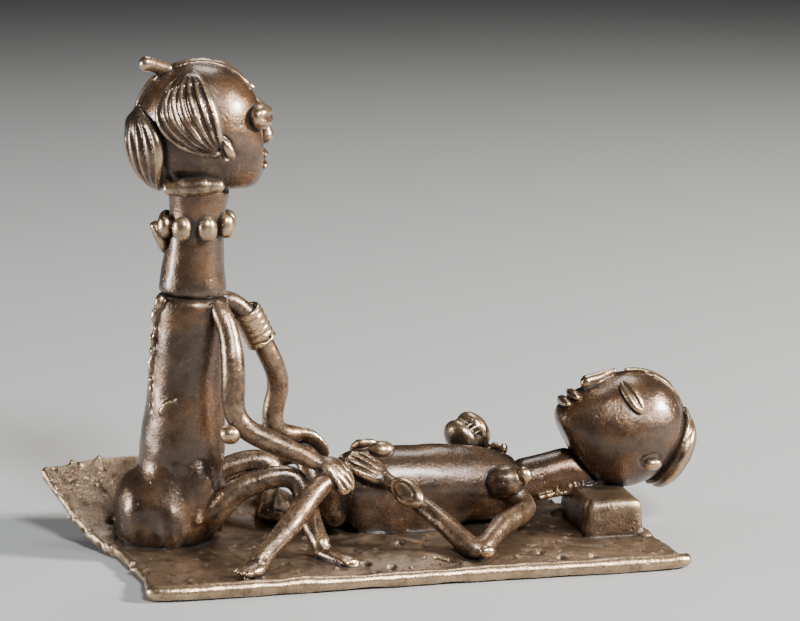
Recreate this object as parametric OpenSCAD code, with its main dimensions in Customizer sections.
// Akan gold weight: a seated figure and a reclining figure on a curled mat.
// Every module below is one wax element of the cast group: sheet, thread, pellet or bead.
// Lengths are in millimetres. X runs along the mat to the reclining head, Y goes back, Z is up.

/* [Mat] */
// length of the mat along its front edge
mat_length = 60; // [57:1:64]
// depth of the mat from front to back
mat_depth = 30; // [29:0.5:33]
// thickness of the sheet
mat_thick = 1.3; // [1:0.1:2]
// how far the back left corner curls up
corner_lift = 7.8; // [5:0.2:9]
// diameter of the rolled thread along the front edge
edge_roll_d = 1.8; // [1.4:0.1:2.2]

/* [Seated figure] */
// height of the hips above the mat
hip_height = 9.5; // [8.5:0.5:11]
// height of the collar above the mat
collar_height = 28.8; // [26:0.2:32]
// diameter of the trunk at the hips
torso_base_d = 11; // [10:0.2:12]
// diameter of the trunk at the collar
torso_top_d = 8.6; // [7.6:0.2:9.4]
// forward lean of the trunk in degrees
lean = 4.5; // [2:0.5:7]
// length of the neck from collar to jaw
neck_length = 12.2; // [10:0.2:14]
// diameter of the neck under the beads
neck_d = 6.4; // [5.6:0.2:7.2]
// number of beads in the ring
bead_count = 8; // [6:1:9]
// height of one bead
bead_height = 2.9; // [2.2:0.1:3.4]
// head from face to nape
head_length = 14.2; // [13:0.2:15.4]
// head from ear to ear
head_width = 12.8; // [11.8:0.2:14]
// head from jaw to crown
head_height = 14; // [13:0.2:15.4]

/* [Reclining figure] */
// length of the trunk
trunk_length = 20; // [18.5:0.5:21]
// thickness of the trunk
trunk_d = 9.5; // [8.6:0.1:10.4]
// diameter of the neck
recline_neck_d = 5.4; // [4.8:0.2:6]
// head from chin to crown
recline_head_length = 14; // [13:0.2:15]
// head from ear to ear
recline_head_width = 12.6; // [11.6:0.2:13.6]
// head from face to nape
recline_head_height = 13.6; // [12.6:0.2:14.4]
// height of the drawn-up knees above the mat
knee_height = 8.3; // [7.6:0.1:9.2]

/* [Limbs] */
// diameter of the arms
arm_d = 2.7; // [2.3:0.1:3]
// diameter of the legs
leg_d = 2.8; // [2.4:0.1:3.1]
// width of a hand across the fingers
hand_width = 3.8; // [3:0.1:4.4]

/* [Headrest] */
// length of the block along the mat
rest_length = 7.2; // [6.4:0.2:8]
// depth of the block
rest_depth = 12; // [10:0.5:13]
// height of the block
rest_height = 4.4; // [4:0.1:4.8]

/* [Hidden] */
mx = mat_length / 60;
my = mat_depth / 30;
top = mat_thick;
front_y = -13 * my;
back_y = 17 * my;
bend_y = 5 * my;
arm_r = arm_d / 2;
leg_r = leg_d / 2;
dark = "#6b5234";
mid = "#8a6a3c";
bright = "#b08a4e";

// Small helpers
function unit(v) = v / norm(v);
function mix(a, b, t) = a + (b - a) * t;
function clamp(t) = min(1, max(0, t));
function smooth(t) = clamp(t) * clamp(t) * (3 - 2 * clamp(t));
function xyz(p) = [p[0], p[1], p[2]];
function with_r(p, r) = [p[0], p[1], p[2], r];
function soft_min(a, b, k) = -k * ln(exp(-a / k) + exp(-b / k));
function soft_max(a, b, k) = k * ln(exp(a / k) + exp(b / k));

// Height of the mat's underside: flat in front, curled up at the back left
function curl(x, y) =
  corner_lift * (1 - smooth((x / mx + 24) / 20)) * pow(clamp((y - bend_y) / (back_y - bend_y)), 1.6);
function on_mat(p) = [p[0], p[1], max(p[2], top + curl(p[0], p[1]))];
// A place on the mat: x and y follow its size, h is the height above its flat top
function at(x, y, h) = [x * mx, y * my, top + h];
// The same with h above the curled surface
function on(x, y, h) = [x * mx, y * my, top + curl(x * mx, y * my) + h];

// Smooth curve through points [x, y, z, r]
function curve_point(p, i, t) =
  let (a = p[max(i - 1, 0)], b = p[i], c = p[i + 1], d = p[min(i + 2, len(p) - 1)])
  0.5 * (2 * b + (c - a) * t + (2 * a - 5 * b + 4 * c - d) * t * t + (3 * b - a - 3 * c + d) * t * t * t);
function curve(p, per) = concat(
  [for (i = [0:len(p) - 2]) for (k = [0:per - 1]) curve_point(p, i, k / per)],
  [p[len(p) - 1]]);
function tangents(c) = [for (i = [0:len(c) - 1]) unit(c[min(i + 1, len(c) - 1)] - c[max(i - 1, 0)])];
function normals(t, n, i = 0) =
  i >= len(t) ? [] : let (m = unit(n - (n * t[i]) * t[i])) concat([m], normals(t, m, i + 1));
function side_of(t) = abs(t[2]) < 0.8 ? [0, 0, 1] : [1, 0, 0];

// Triangles of a skin over rings of n points with a tip before and after them
function skin_faces(rings, n) = concat(
  [for (i = [0:n - 1]) [0, 1 + i, 1 + (i + 1) % n]],
  [for (k = [0:rings - 2]) for (i = [0:n - 1])
    let (a = 1 + k * n + i, b = 1 + k * n + (i + 1) % n) each [[a, a + n, b + n], [a, b + n, b]]],
  [for (i = [0:n - 1])
    let (e = 1 + (rings - 1) * n) [e + n, e + (i + 1) % n, e + i]]);
module skin(first, rings, last) {
  n = len(rings[0]);
  points = concat([first], [for (r = rings) each r], [last]);
  polyhedron(points, skin_faces(len(rings), n));
}

// A rolled wax thread through points [x, y, z, r], with rounded ends
module thread(p, per = 3, sides = 10, resting = false, round = true) {
  q = curve(p, per);
  c = [for (v = q) xyz(v)];
  t = tangents(c);
  n = normals(t, side_of(t[0]));
  last = len(q) - 1;
  cap = round ? [60, 30] : [];
  stations = concat(
    [for (a = cap) [c[0] - t[0] * q[0][3] * sin(a), q[0][3] * cos(a), 0]],
    [for (i = [0:last]) [c[i], q[i][3], i]],
    [for (k = [len(cap) - 1:-1:0])
      [c[last] + t[last] * q[last][3] * sin(cap[k]), q[last][3] * cos(cap[k]), last]]);
  rings = [for (s = stations) [for (k = [0:sides - 1])
    let (a = 360 * k / sides, m = n[s[2]], b = cross(t[s[2]], m),
      v = s[0] + s[1] * (cos(a) * m + sin(a) * b))
    resting ? on_mat(v) : v]];
  first_tip = c[0] - t[0] * (round ? q[0][3] : 0);
  last_tip = c[last] + t[last] * (round ? q[last][3] : 0);
  skin(resting ? on_mat(first_tip) : first_tip, rings, resting ? on_mat(last_tip) : last_tip);
}

// A flat hand or foot through points [x, y, z, half width], grooved between the fingers
module paddle(p, up, thick, groove, per = 3, resting = false) {
  q = curve(p, per);
  c = [for (v = q) xyz(v)];
  t = tangents(c);
  n = normals(t, up);
  last = len(q) - 1;
  across = [-1, -0.75, -0.5, -0.25, 0, 0.25, 0.5, 0.75, 1];
  rings = [for (i = [0:last])
    let (s = i / last, w = q[i][3], b = cross(t[i], n[i]), deep = groove * smooth((s - 0.35) * 3))
    concat(
      [for (k = [0:8])
        let (u = across[k], pressed = k == 2 || k == 4 || k == 6 ? deep : 0,
          h = thick * sqrt(max(0.05, 1 - u * u * 0.9)) * (1 - pressed),
          v = c[i] + b * u * w + n[i] * h) resting ? on_mat(v) : v],
      [for (k = [7:-1:1])
        let (u = across[k], h = thick * sqrt(1 - u * u * 0.9),
          v = c[i] + b * u * w - n[i] * h) resting ? on_mat(v) : v])];
  skin(resting ? on_mat(c[0]) : c[0], rings, resting ? on_mat(c[last]) : c[last]);
}

// A rolled pellet with half sizes r, long axis X; groove > 0 presses a slit along its top
module pellet(r, groove = 0, rings = 7, sides = 12) {
  skin([-r[0], 0, 0],
    [for (k = [1:rings]) [for (i = [0:sides - 1])
      let (a = 180 * k / (rings + 1), b = 360 * i / sides,
        f = sin(a) * (1 - groove * (i == sides / 4 ? 1 : 0)))
      [-r[0] * cos(a), r[1] * f * cos(b), r[2] * f * sin(b)]]],
    [r[0], 0, 0]);
}

// A ridged sleeve from a to b
module ribbed(a, b, r, ribs) {
  n = ribs * 2;
  thread([for (k = [0:n]) with_r(mix(a, b, k / n), r * (k % 2 == 1 ? 1.12 : 0.9))], per = 1, sides = 12);
}

// Head of own plain design: face to +X, crown to +Z, soft flat jaw and face
function head_point(size, a, b) =
  let (d = [cos(a) * cos(b), cos(a) * sin(b), sin(a)],
    full = 1 + 0.66 * max(0, d[0]) * max(0, -d[2]),
    x = d[0] * size[0] / 2 * full * 1.03,
    y = d[1] * size[1] / 2 * (1 - 0.1 * max(0, d[0])),
    z = d[2] * size[2] / 2 * full * 1.06)
  [soft_min(x, size[0] * 0.5, 0.35), y, soft_max(z, -size[2] * 0.5, 0.2)];
module head_shape(size, rings = 13, sides = 22) {
  skin(head_point(size, -90, 0),
    [for (k = [1:rings]) [for (i = [0:sides - 1])
      head_point(size, -90 + 180 * k / (rings + 1), 360 * i / sides)]],
    head_point(size, 90, 0));
}

// A raised fan of nested ridges laid on a head, round the direction (turn, rise)
module hair_fan(size, turn, rise, roll, front, back, tall, ridges) {
  d0 = [cos(rise) * cos(turn), cos(rise) * sin(turn), sin(rise)];
  side = unit(cross([0, 0, 1], d0));
  over = cross(d0, side);
  eu = cos(roll) * side + sin(roll) * over;
  ev = cross(d0, eu);
  reach = norm(head_point(size, rise, turn));
  steps = ridges * 4;
  sides = 20;
  skin([0, 0, 0],
    [for (k = [steps:-1:1]) [for (i = [0:sides - 1])
      let (a = 360 * i / sides, s = k / steps,
        u = cos(a) * s * (cos(a) > 0 ? front : back), v = sin(a) * s * tall,
        d = unit(d0 * reach + eu * u + ev * v),
        rise_a = asin(d[2]), turn_a = atan2(d[1], d[0]),
        h = k == steps ? -0.4 : 0.35 + 0.75 * sqrt(1 - s * s) + 0.24 * cos(360 * (s * ridges + 0.5)))
      head_point(size, rise_a, turn_a) + d * h]],
    head_point(size, rise, turn) + d0 * 1.15);
}

// Anchor points of the seated figure
seat = at(-25.4, 7, 0);
function column(h) = seat + [h * tan(lean), 0, h];
jaw = column(collar_height + neck_length);
seated_head_size = [head_length, head_width, head_height];
seated_head_at = jaw + [0.3, 0, head_height / 2];
near_shoulder = column(collar_height - 2.1) + torso_top_d * [0.2, -0.38, 0];
far_shoulder = column(collar_height - 2) + torso_top_d * [0.3, 0.3, 0];
near_knee = at(-9.2, -2, knee_height);
far_knee = at(-9.2, 14, knee_height);
near_wrist = near_knee + [-0.9, 0.9, leg_r + 0.4];
far_wrist = far_knee + [-1, -0.9, leg_r + 0.4];
near_elbow = mix(near_shoulder, near_wrist, 0.45) + [-2.5, -1.2, -4.9];
// The far elbow ball keeps clear of the far thigh under it
far_thigh_rise = 7.6;
elbow_ball_r = 1.2;
elbow_clear = 0.2;
far_elbow_low = top + far_thigh_rise + leg_r + elbow_ball_r + 0.4 + elbow_clear;
far_elbow_free = mix(far_shoulder, far_wrist, 0.62) + [0.6, 0.4, -5.6];
far_elbow = [far_elbow_free[0], far_elbow_free[1], max(far_elbow_free[2], far_elbow_low)];

// Anchor points of the reclining figure
trunk_r = trunk_d / 2;
trunk_left = at(-5.5, 6.5, trunk_r);
trunk_right = trunk_left + [trunk_length, 0, -0.4];
recline_head_size = [recline_head_height, recline_head_width, recline_head_length];
recline_head_at = trunk_right + [13.9, -1, 6.3];
head_tilt = 63;
near_arm_root = trunk_right + [-0.6, -trunk_r * 0.9, 1.2];
far_arm_root = trunk_right + [-0.8, trunk_r * 0.85, 1.4];
near_hand_root = trunk_left + [trunk_length * 0.2, -trunk_r * 1.02, trunk_r * 0.46];
far_hand_root = trunk_left + [trunk_length * 0.3, trunk_r * 1.02, trunk_r * 0.5];
near_outer_elbow = at(6.9, -9, arm_r * 0.75);
far_outer_elbow = at(6.5, 14.2, arm_r * 0.9);

// Paths of the limbs
seated_near_arm_path = [
  with_r(near_shoulder + [-0.3, 1.5, 1.1], arm_r * 0.9),
  with_r(near_shoulder + [1, -0.6, 0.8], arm_r * 0.9),
  with_r(near_shoulder + [1.9, -2, -1.8], arm_r * 0.95),
  with_r(mix(near_shoulder, near_elbow, 0.5) + [0.8, -1.7, 0.4], arm_r),
  with_r(near_elbow + [-0.5, 0, 2.2], arm_r),
  with_r(near_elbow + [0.9, -0.2, -0.2], arm_r),
  with_r(mix(near_elbow, near_wrist, 0.5) + [0, 0, 0.1], arm_r * 0.96),
  with_r(near_wrist, arm_r * 0.78)];
seated_far_arm_path = [
  with_r(far_shoulder + [-1.2, -0.9, 0.2], arm_r * 0.9),
  with_r(far_shoulder + [1.7, 0.3, 0.6], arm_r * 0.9),
  with_r(far_shoulder + [4.3, 0.8, -1.3], arm_r * 0.95),
  with_r(far_shoulder + [6.3, 1.5, -4.8], arm_r),
  with_r(mix(far_shoulder, far_elbow, 0.6) + [3.9, 0.6, 0], arm_r),
  with_r(far_elbow + [0.5, 0, 2.2], arm_r),
  with_r(far_elbow + [0.9, 0, 0], arm_r),
  with_r(far_wrist, arm_r * 0.78)];
seated_near_leg_path = [
  with_r(at(-23.2, 3.4, 2.2), leg_r * 1.1),
  with_r(at(-21.2, 1.9, 4.4), leg_r * 1.1),
  with_r(at(-19.2, 1.4, 6.6), leg_r * 1.08),
  with_r(at(-15.6, 1.2, 8), leg_r),
  with_r(at(-12.4, 1, 7.9), leg_r * 0.96),
  with_r(at(-11.4, -0.2, 5.4), leg_r * 0.9),
  with_r(at(-10.9, -3, 2.8), leg_r * 0.84),
  with_r(at(-10.4, -5, 1.5), leg_r * 0.8)];
seated_far_leg_path = [
  with_r(at(-23, 10.6, 3), leg_r * 1.1),
  with_r(at(-19.6, 11.6, 6.4), leg_r * 1.05),
  with_r(at(-15.4, 11.4, far_thigh_rise), leg_r),
  with_r(at(-13.4, 10.8, 6.6), leg_r * 0.95),
  with_r(on(-14.2, 9.9, 2.8), leg_r * 0.88),
  with_r(on(-14.8, 9.2, 1.1), leg_r * 0.8)];
recline_near_leg_path = [
  with_r(at(-7.4, 2.9, 2.6), leg_r * 1.05),
  with_r(at(-8.6, 1, 5), leg_r * 1.05),
  with_r(near_knee + [0.5, 1, -1], leg_r * 1.02),
  with_r(near_knee + [-1, -0.5, -0.6], leg_r),
  with_r(mix(near_knee, at(-18.2, -9.4, 1.3), 0.55), leg_r * 0.94),
  with_r(at(-18.2, -9.2, 1.4), leg_r * 0.86)];
recline_far_leg_path = [
  with_r(at(-7.4, 10.4, 2.6), leg_r * 1.05),
  with_r(at(-8.6, 12.2, 5), leg_r * 1.05),
  with_r(far_knee + [0.5, -0.6, -1], leg_r * 1.02),
  with_r(far_knee + [-1, 0.2, -0.6], leg_r),
  with_r(mix(far_knee, on(-16.6, 14.4, 1.2), 0.55), leg_r * 0.94),
  with_r(on(-16.6, 14.4, 1.1), leg_r * 0.86)];
recline_near_arm_path = [
  with_r(near_arm_root + [-0.6, 0.4, -0.8], arm_r),
  with_r(near_arm_root + [1.2, -1.5, -2.8], arm_r),
  with_r(mix(near_arm_root, near_outer_elbow, 0.6) + [1, 0, -0.4], arm_r),
  with_r(near_outer_elbow + [0.3, 0, 0.1], arm_r * 0.96),
  with_r(near_outer_elbow + [-1.4, 1, 0.8], arm_r * 0.96),
  with_r(mix(near_outer_elbow, near_hand_root, 0.5) + [0, -0.3, 0.2], arm_r * 0.9),
  with_r(near_hand_root, arm_r * 0.74)];
recline_far_arm_path = [
  with_r(far_arm_root + [-0.4, -0.4, -0.4], arm_r),
  with_r(far_arm_root + [-2, 1.2, 1], arm_r),
  with_r(far_arm_root + [-4.6, 2, 0.6], arm_r),
  with_r(far_outer_elbow + [0.6, 0, 1.2], arm_r * 0.96),
  with_r(far_outer_elbow + [-0.6, 0.2, 0.2], arm_r * 0.96),
  with_r(mix(far_outer_elbow, far_hand_root, 0.5) + [0, 0.6, 0], arm_r * 0.9),
  with_r(far_hand_root, arm_r * 0.74)];

// The mat: a thin sheet, curled at the back left, with the back right corner cut away
function left_x(v) = lookup(v, [[0, -29.8], [0.3, -30.7], [0.53, -32.6], [0.7, -35.4], [1, -40.5]]);
function right_x(v) = lookup(v, [[0, 30.2], [0.2, 30.4], [0.28, 28.8], [0.6, 28.4], [0.85, 25], [1, 20]]);
function mat_xy(u, v) = [mix(left_x(v), right_x(v), u) * mx,
  front_y + v * (back_y - front_y) - 0.8 * my * pow(v, 6) * (1 - smooth(u * 8))
    - 1.5 * v * smooth((u - 0.6) * 2.5)];
module sheet(under) {
  nu = 26;
  nv = 13;
  rings = [for (k = [0:nu]) concat(
    [for (j = [0:nv]) let (p = mat_xy(k / nu, j / nv)) [p[0], p[1], under > 0 ? -under : curl(p[0], p[1])]],
    [for (j = [nv:-1:0]) let (p = mat_xy(k / nu, j / nv)) [p[0], p[1], curl(p[0], p[1]) + top]])];
  a = rings[0][7];
  b = rings[nu][7];
  skin([a[0], a[1], top / 2], rings, [b[0], b[1], top / 2]);
}
module mat() {
  color(mid) sheet(0);
}
// Everything below the mat's upper side, to seat the pieces that rest on its curl
module below_mat() {
  sheet(12);
}

module mat_front_roll() {
  r = edge_roll_d / 2;
  color(bright) difference() {
    thread([
      with_r([-30.4 * mx, front_y + 5, r], r * 0.7),
      with_r([-30.2 * mx, front_y + 1.6, r], r * 0.9),
      with_r([-28.8 * mx, front_y - 0.3, r], r),
      with_r([-14 * mx, front_y - 0.3, r], r),
      with_r([8 * mx, front_y - 0.2, r], r),
      with_r([28 * mx, front_y - 0.3, r], r),
      with_r([30.3 * mx, front_y + 0.9, r], r * 0.85)], per = 5);
    mat();
  }
}

module headrest() {
  c = at(24.6, 2, 0) + [0, 0, rest_height / 2];
  lx = rest_length / 2 - 0.8;
  ly = rest_depth / 2 - 0.8;
  color(mid) difference() {
    intersection() {
      translate(c) hull() {
        for (i = [-1, 1]) for (j = [-1, 1]) {
          translate([i * (lx - 0.3), j * ly, rest_height / 2 - 0.8]) sphere(0.8, $fn = 16);
          translate([i * lx, j * ly, -rest_height / 2]) sphere(0.8, $fn = 16);
        }
      }
      translate([c[0] - 20, c[1] - 20, top]) cube([40, 40, 20]);
    }
    recline_head_solid();
    recline_neck_solid();
  }
}

// Seated figure
module hips_solid() {
  thread([
    with_r(column(hip_height * 0.24) + [-1.3, 0, 0], torso_base_d * 0.54),
    with_r(column(hip_height * 0.42) + [-0.9, 0, 0], torso_base_d * 0.58),
    with_r(column(hip_height * 0.62) + [-0.3, 0, 0], torso_base_d * 0.52)], per = 3, sides = 22);
}
module seated_hips() {
  color(dark) difference() {
    hips_solid();
    below_mat();
  }
}

module torso_solid() {
  thread([
    with_r(column(hip_height * 0.5), torso_base_d * 0.44),
    with_r(column(hip_height), torso_base_d * 0.47),
    with_r(column(collar_height * 0.62), torso_top_d * 0.52),
    with_r(column(collar_height - 4), torso_top_d * 0.51),
    with_r(column(collar_height - 1), torso_top_d * 0.5),
    with_r(column(collar_height), torso_top_d * 0.47)], per = 3, sides = 22, round = false);
}
module seated_torso() {
  color(dark) difference() {
    torso_solid();
    hips_solid();
  }
}

module neck_solid() {
  h = neck_length;
  thread([
    with_r(column(collar_height), neck_d * 0.63),
    with_r(column(collar_height + h * 0.12), neck_d * 0.6),
    with_r(column(collar_height + h * 0.45), neck_d * 0.53),
    with_r(column(collar_height + h * 0.75), neck_d * 0.5),
    with_r(column(collar_height + h * 1.04), neck_d * 0.57)], per = 3, sides = 20, round = false);
}
module seated_neck() {
  color(mid) difference() {
    neck_solid();
    head_solid();
  }
}

module head_solid() {
  translate(seated_head_at) head_shape(seated_head_size);
}
module seated_head() {
  color(mid) head_solid();
}

module seated_eyes() {
  color(bright) for (s = [-1, 1]) difference() {
    translate(seated_head_at + [head_length * 0.46, s * head_width * 0.26, head_height * 0.1])
      rotate([0, 0, s * 30]) rotate([0, 0, 90]) rotate([90, 0, 0]) pellet([2.1, 1.5, 1.3], 0.3);
    head_solid();
  }
}

module seated_nose() {
  color(bright) difference() {
    translate(seated_head_at + [head_length * 0.48, 0, -head_height * 0.02])
      rotate([0, 78, 0]) pellet([1.7, 0.85, 0.9]);
    head_solid();
  }
}

module seated_lips() {
  color(bright) for (s = [0, 1]) difference() {
    translate(seated_head_at + [head_length * 0.49, 0, -head_height * (0.24 + s * 0.09)])
      rotate([0, 0, 90]) pellet([1.7, 0.75, 0.5]);
    head_solid();
  }
}

module seated_ears() {
  color(bright) for (s = [-1, 1]) difference() {
    translate(seated_head_at + [head_length * 0.16, s * head_width * 0.47, -head_height * 0.13])
      rotate([0, 62, 0]) pellet([1.5, 0.8, 0.6]);
    head_solid();
  }
}

module seated_near_hair_fan() {
  color(dark) difference() {
    translate(seated_head_at) hair_fan(seated_head_size, -88, 20, 8, 1.3, 4.9, 5.7, 4);
    head_solid();
    seated_ears();
  }
}

module seated_far_hair_fan() {
  color(dark) difference() {
    translate(seated_head_at) hair_fan(seated_head_size, 88, 20, 172, 1.3, 4.9, 5.7, 4);
    head_solid();
    seated_ears();
  }
}

module seated_back_hair_fan() {
  color(dark) difference() {
    translate(seated_head_at) hair_fan(seated_head_size, 180, -4, -90, 5.2, 7, 4.8, 4);
    head_solid();
    seated_near_hair_fan();
    seated_far_hair_fan();
    seated_nape_rolls();
  }
}

module seated_crown_thread() {
  color(bright) difference() {
    translate(seated_head_at) thread([for (a = [35, 55, 75, 95, 112])
      with_r(head_point(seated_head_size, a > 90 ? 180 - a : a, a > 90 ? 180 : 0), 0.5)], per = 3, sides = 8);
    head_solid();
  }
}

module seated_hair_peg() {
  root = seated_head_at + head_point(seated_head_size, 57, 180);
  color(bright) difference() {
    thread([
      with_r(root + [2.2, 0, -0.6], 0.7),
      with_r(root + [-0.4, -0.2, 0.5], 0.7),
      with_r(root + [-2, -0.4, 1.1], 0.85)],
      per = 3, sides = 10);
    head_solid();
    seated_crown_thread();
  }
}

module seated_nape_rolls() {
  color(dark) for (s = [-1, 1]) difference() {
    translate(seated_head_at + [-head_length * 0.1, s * head_width * 0.32, -head_height * 0.45])
      rotate([0, -3, s * 8]) pellet([3.5, 1.2, 1]);
    head_solid();
    neck_solid();
  }
}

module seated_neck_beads() {
  c = column(collar_height + neck_length * 0.66);
  color(bright) for (i = [0:bead_count - 1]) difference() {
    translate(c) rotate([0, 0, -78 + 360 * i / bead_count]) translate([neck_d * 0.5 + 0.45, 0, 0])
      rotate([0, 90, 0]) pellet([bead_height / 2, 1.15, 1], rings = 6, sides = 10);
    neck_solid();
  }
}

module seated_necklace_tie() {
  c = column(collar_height + neck_length * 0.5) - [neck_d * 0.5, 0, 0];
  color(bright) difference() {
    paddle([
      with_r(c + [0.5, 0, -1.7], 0.4),
      with_r(c + [-0.3, 0, -0.6], 1),
      with_r(c + [-0.9, 0, 0.8], 1.3),
      with_r(c + [-1.5, 0, 2.4], 0.7)],
      [-1, 0, 0], 0.65, 0);
    neck_solid();
    seated_neck_beads();
  }
}

module near_arm_solid() {
  thread(seated_near_arm_path);
}
module seated_near_arm() {
  color(mid) difference() {
    near_arm_solid();
    torso_solid();
    neck_solid();
  }
}

module seated_near_elbow_ball() {
  color(bright) difference() {
    translate(near_elbow + [-1.1, -1, -0.5]) pellet([1.3, 1.25, 1.25]);
    near_arm_solid();
  }
}

module seated_near_hand() {
  w = hand_width / 2;
  p = near_wrist;
  color(mid) difference() {
    paddle([
      with_r(p + [-0.2, 0, 0.1], w * 0.55),
      with_r(p + [1.2, -0.3, -0.2], w * 0.85),
      with_r(p + [2.6, -0.8, -1.4], w),
      with_r(p + [3.4, -1.2, -3.4], w * 0.8)],
      [0, -0.5, 1], 0.8, 0.35);
    near_arm_solid();
    recline_near_leg_solid();
  }
}

module far_arm_solid() {
  thread(seated_far_arm_path);
}
module seated_far_arm() {
  color(mid) difference() {
    far_arm_solid();
    torso_solid();
  }
}

module seated_far_armlet() {
  a = xyz(curve_point(seated_far_arm_path, 2, 0.1));
  b = xyz(curve_point(seated_far_arm_path, 2, 0.9));
  color(bright) difference() {
    ribbed(a, b, arm_r + 0.4, 4);
    far_arm_solid();
  }
}

module seated_far_elbow_ball() {
  color(bright) difference() {
    translate(far_elbow + [-1.1, 0.5, -0.4]) pellet([1, 1, 1] * elbow_ball_r);
    far_arm_solid();
  }
}

module seated_far_hand() {
  w = hand_width / 2;
  p = far_wrist;
  color(mid) difference() {
    paddle([
      with_r(p + [-0.2, 0, 0.1], w * 0.55),
      with_r(p + [1.2, 0.3, -0.2], w * 0.85),
      with_r(p + [2.6, 0.6, -1.4], w),
      with_r(p + [3.3, 0.8, -3.2], w * 0.8)],
      [0, 0.4, 1], 0.8, 0.35);
    far_arm_solid();
    recline_far_leg_solid();
  }
}

module near_leg_solid() {
  thread(seated_near_leg_path, resting = true);
}
module seated_near_leg() {
  color(dark) difference() {
    near_leg_solid();
    hips_solid();
    torso_solid();
  }
}

module seated_near_foot() {
  color(mid) difference() {
    paddle([
      with_r(at(-11, -3.9, 0.5), 0.9),
      with_r(at(-9.8, -5.6, 0.5), 1.1),
      with_r(at(-8.6, -7.3, 0.4), 1.3),
      with_r(at(-7.2, -9.2, 0.2), 1.2)],
      [0, 0, 1], 0.85, 0.35, resting = true);
    near_leg_solid();
  }
}

module far_leg_solid() {
  thread(seated_far_leg_path);
}
module seated_far_leg() {
  color(dark) difference() {
    far_leg_solid();
    hips_solid();
    torso_solid();
    below_mat();
  }
}

module seated_far_foot() {
  color(mid) difference() {
    paddle([
      with_r(on(-15.8, 9.2, 0.7), 0.9),
      with_r(on(-14.2, 9, 0.6), 1.1),
      with_r(on(-12.6, 8.6, 0.5), 1.3),
      with_r(on(-11.2, 8.2, 0.4), 1.2)],
      [0, 0, 1], 0.85, 0.35);
    far_leg_solid();
    below_mat();
  }
}

// Reclining figure
module trunk_solid() {
  l = trunk_length;
  thread([
    with_r(trunk_left + [0, 0, -0.2], trunk_r * 0.94),
    with_r(trunk_left + [l * 0.18, 0, 0.2], trunk_r * 0.99),
    with_r(trunk_left + [l * 0.5, 0, 0.1], trunk_r),
    with_r(trunk_left + [l * 0.8, 0, -0.2], trunk_r * 0.95),
    with_r(trunk_right + [0, 0, -0.6], trunk_r * 0.8)], per = 3, sides = 22, resting = true, round = false);
}
module reclining_torso() {
  color(mid) trunk_solid();
}

module reclining_navel() {
  color(bright) difference() {
    translate(trunk_left + [trunk_length * 0.21, -trunk_r * 0.26, trunk_r * 0.99]) pellet([1.6, 1.3, 1.3]);
    trunk_solid();
  }
}

module recline_hips_solid() {
  thread([
    with_r(trunk_left + [-1.9, 0, -0.9], trunk_r * 0.62),
    with_r(trunk_left + [0.4, 0, -0.4], trunk_r * 0.86)],
    per = 3, sides = 18, resting = true);
}
module reclining_hips() {
  color(dark) difference() {
    recline_hips_solid();
    trunk_solid();
  }
}

module recline_neck_solid() {
  a = trunk_right + [-1.5, 0, -0.4];
  b = recline_head_at + [-3, 0.3, -4.2];
  r = recline_neck_d / 2;
  thread([
    with_r(a, r * 1.05),
    with_r(mix(a, b, 0.5), r * 1.02),
    with_r(b, r * 1.16)], per = 3, sides = 16, round = false);
}
module reclining_neck() {
  color(mid) difference() {
    recline_neck_solid();
    trunk_solid();
    recline_head_solid();
  }
}

module recline_head_frame() {
  translate(recline_head_at) rotate([0, head_tilt, 0]) rotate([0, 0, 180]) children();
}
module recline_head_solid() {
  recline_head_frame() head_shape(recline_head_size);
}
module reclining_head() {
  color(mid) recline_head_solid();
}

module reclining_hair_cap() {
  s = recline_head_size;
  color(bright) difference() {
    recline_head_frame() intersection() {
      head_shape(s + [1.5, 1, 1.5]);
      rotate([0, -54, 0]) translate([-12, -12, s[2] * 0.41]) cube([24, 24, 12]);
    }
    recline_head_solid();
  }
}

module reclining_crown_thread() {
  s = recline_head_size;
  color(bright) difference() {
    recline_head_frame() thread([for (a = [26, 40, 54, 66, 76])
      with_r(head_point(s, a, 0), 0.5)], per = 3, sides = 8);
    recline_head_solid();
  }
}

module reclining_eyes() {
  s = recline_head_size;
  color(bright) for (k = [-1, 1]) difference() {
    recline_head_frame() translate(head_point(s, 14, k * 48))
      rotate([0, 0, k * 50]) rotate([0, 0, 90]) rotate([90, 0, 0]) pellet([2.5, 1.1, 1], 0.35);
    recline_head_solid();
  }
}

module reclining_nose() {
  s = recline_head_size;
  color(bright) difference() {
    recline_head_frame() translate([s[0] * 0.46, 0, -s[2] * 0.02]) rotate([0, 84, 0]) pellet([2.6, 1.5, 1.6]);
    recline_head_solid();
  }
}

module reclining_lips() {
  s = recline_head_size;
  color(bright) for (k = [0, 1]) difference() {
    recline_head_frame() translate([s[0] * 0.49, 0, -s[2] * (0.27 + 0.105 * k)])
      rotate([0, 0, 90]) pellet([2.4, 1.2, 0.72]);
    recline_head_solid();
  }
}

module reclining_ears() {
  s = recline_head_size;
  color(bright) for (k = [-1, 1]) difference() {
    recline_head_frame() translate([-s[0] * 0.26, k * s[1] * 0.45, s[2] * 0.02])
      rotate([0, 60, 0]) pellet([1.3, 0.9, 0.95], 0.25);
    recline_head_solid();
  }
}

module near_ball_solid() {
  translate(near_arm_root + [-1, 0, 0.3]) pellet([2.5, 2.2, 2.1]);
}
module reclining_near_shoulder() {
  color(mid) difference() {
    near_ball_solid();
    trunk_solid();
    recline_near_arm_solid();
  }
}

module reclining_near_shoulder_bead() {
  color(bright) difference() {
    translate(near_arm_root + [0.9, -1.1, 1.1]) rotate([0, 70, 0]) pellet([1, 0.7, 0.7]);
    near_ball_solid();
    recline_near_arm_solid();
    trunk_solid();
  }
}

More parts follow.
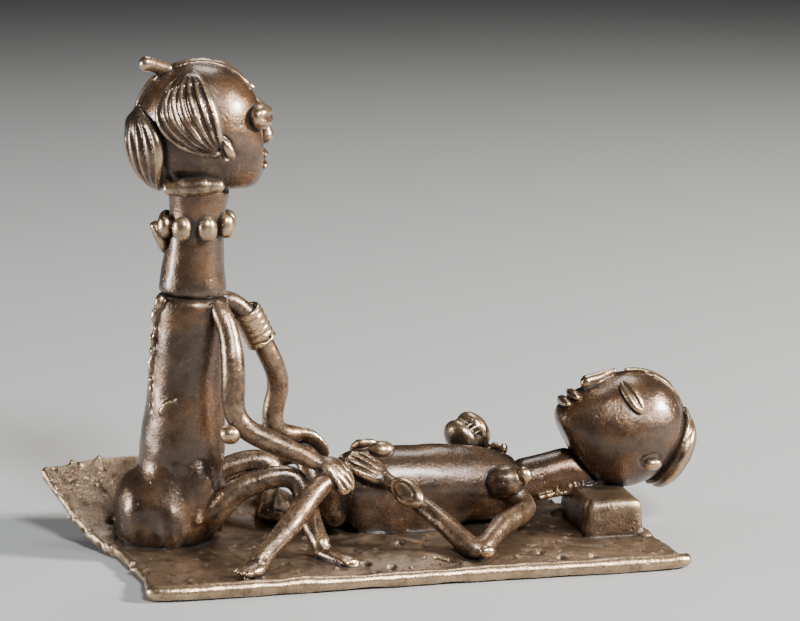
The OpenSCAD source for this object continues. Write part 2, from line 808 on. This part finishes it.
module recline_near_arm_solid() {
  thread(recline_near_arm_path, resting = true);
}
module reclining_near_arm() {
  color(mid) difference() {
    recline_near_arm_solid();
    trunk_solid();
  }
}

module reclining_near_elbow_bead() {
  color(bright) difference() {
    translate(near_outer_elbow + [0.6, -1.2, 0.2]) pellet([0.9, 0.75, 0.75]);
    recline_near_arm_solid();
    translate([0, 0, top - 40]) cube(80, center = true);
  }
}

module near_charm_solid() {
  a = xyz(curve_point(recline_near_arm_path, 5, 0.45));
  b = xyz(curve_point(recline_near_arm_path, 5, 0.55));
  d = unit(b - a);
  translate(mix(a, b, 0.5) + [0, -1, 0.4])
    rotate([0, 0, atan2(d[1], d[0])]) rotate([0, -asin(d[2]), 0]) rotate([70, 0, 0])
    pellet([2.4, 1.5, 1.15], 0.3);
}
module reclining_near_bracelet() {
  color(bright) difference() {
    near_charm_solid();
    recline_near_arm_solid();
  }
}

module reclining_near_hand() {
  w = hand_width / 2;
  p = near_hand_root;
  color(mid) difference() {
    paddle([
      with_r(p + [0.3, -0.1, -0.2], w * 0.55),
      with_r(p + [-1.2, 0.4, 0.8], w * 0.9),
      with_r(p + [-2.8, 1, 1.7], w),
      with_r(p + [-4.4, 1.6, 2.4], w * 0.75)],
      [0, -0.8, 1], 0.75, 0.35);
    recline_near_arm_solid();
    trunk_solid();
    near_charm_solid();
    seated_near_hand();
  }
}

module far_ball_solid() {
  translate(far_arm_root + [-0.4, 0, 0.2]) pellet([2.2, 2, 1.9]);
}
module reclining_far_shoulder() {
  color(mid) difference() {
    far_ball_solid();
    trunk_solid();
    recline_far_arm_solid();
  }
}

module recline_far_arm_solid() {
  thread(recline_far_arm_path, resting = true);
}
module reclining_far_arm() {
  color(mid) difference() {
    recline_far_arm_solid();
    trunk_solid();
  }
}

module reclining_far_armlet() {
  c = xyz(curve_point(recline_far_arm_path, 1, 0.7));
  color(bright) difference() {
    translate(c + [0.6, -0.7, 2.6]) rotate([0, 10, 60]) pellet([2.5, 2.3, 2.3], 0.25);
    recline_far_arm_solid();
    far_ball_solid();
    trunk_solid();
  }
}

module reclining_far_hand() {
  w = hand_width / 2;
  p = far_hand_root;
  color(mid) difference() {
    paddle([
      with_r(p + [0.3, 0.1, -0.2], w * 0.55),
      with_r(p + [-1.2, -0.4, 0.8], w * 0.9),
      with_r(p + [-2.8, -1, 1.6], w),
      with_r(p + [-4.4, -1.6, 2.1], w * 0.75)],
      [0, 0.8, 1], 0.75, 0.35);
    recline_far_arm_solid();
    trunk_solid();
  }
}

module recline_near_leg_solid() {
  thread(recline_near_leg_path, resting = true);
}
module reclining_near_leg() {
  color(mid) difference() {
    recline_near_leg_solid();
    recline_hips_solid();
    trunk_solid();
  }
}

module reclining_near_foot() {
  color(mid) difference() {
    paddle([
      with_r(at(-17.4, -8.6, 0.7), 0.9),
      with_r(at(-18.4, -9.6, 0.6), 1.2),
      with_r(at(-19.4, -10.4, 0.5), 1.4),
      with_r(at(-20.6, -11.2, 0.3), 1.3)],
      [0, 0, 1], 0.9, 0.35, resting = true);
    recline_near_leg_solid();
  }
}

module recline_far_leg_solid() {
  thread(recline_far_leg_path);
}
module reclining_far_leg() {
  color(mid) difference() {
    recline_far_leg_solid();
    recline_hips_solid();
    trunk_solid();
    below_mat();
  }
}

module reclining_far_foot() {
  color(mid) difference() {
    paddle([
      with_r(on(-16.8, 14.4, 0.6), 0.9),
      with_r(on(-17.6, 14.4, 0.6), 1.2),
      with_r(on(-18.6, 14.3, 0.5), 1.4),
      with_r(on(-20, 14.2, 0.4), 1.2)],
      [0, 0, 1], 0.9, 0.35);
    recline_far_leg_solid();
    below_mat();
  }
}

mat();
mat_front_roll();
headrest();
seated_hips();
seated_torso();
seated_neck();
seated_head();
seated_eyes();
seated_nose();
seated_lips();
seated_ears();
seated_near_hair_fan();
seated_far_hair_fan();
seated_back_hair_fan();
seated_crown_thread();
seated_hair_peg();
seated_nape_rolls();
seated_neck_beads();
seated_necklace_tie();
seated_near_arm();
seated_near_elbow_ball();
seated_near_hand();
seated_far_arm();
seated_far_armlet();
seated_far_elbow_ball();
seated_far_hand();
seated_near_leg();
seated_near_foot();
seated_far_leg();
seated_far_foot();
reclining_torso();
reclining_navel();
reclining_hips();
reclining_neck();
reclining_head();
reclining_hair_cap();
reclining_crown_thread();
reclining_eyes();
reclining_nose();
reclining_lips();
reclining_ears();
reclining_near_shoulder();
reclining_near_shoulder_bead();
reclining_near_arm();
reclining_near_elbow_bead();
reclining_near_bracelet();
reclining_near_hand();
reclining_far_shoulder();
reclining_far_armlet();
reclining_far_arm();
reclining_far_hand();
reclining_near_leg();
reclining_near_foot();
reclining_far_leg();
reclining_far_foot();
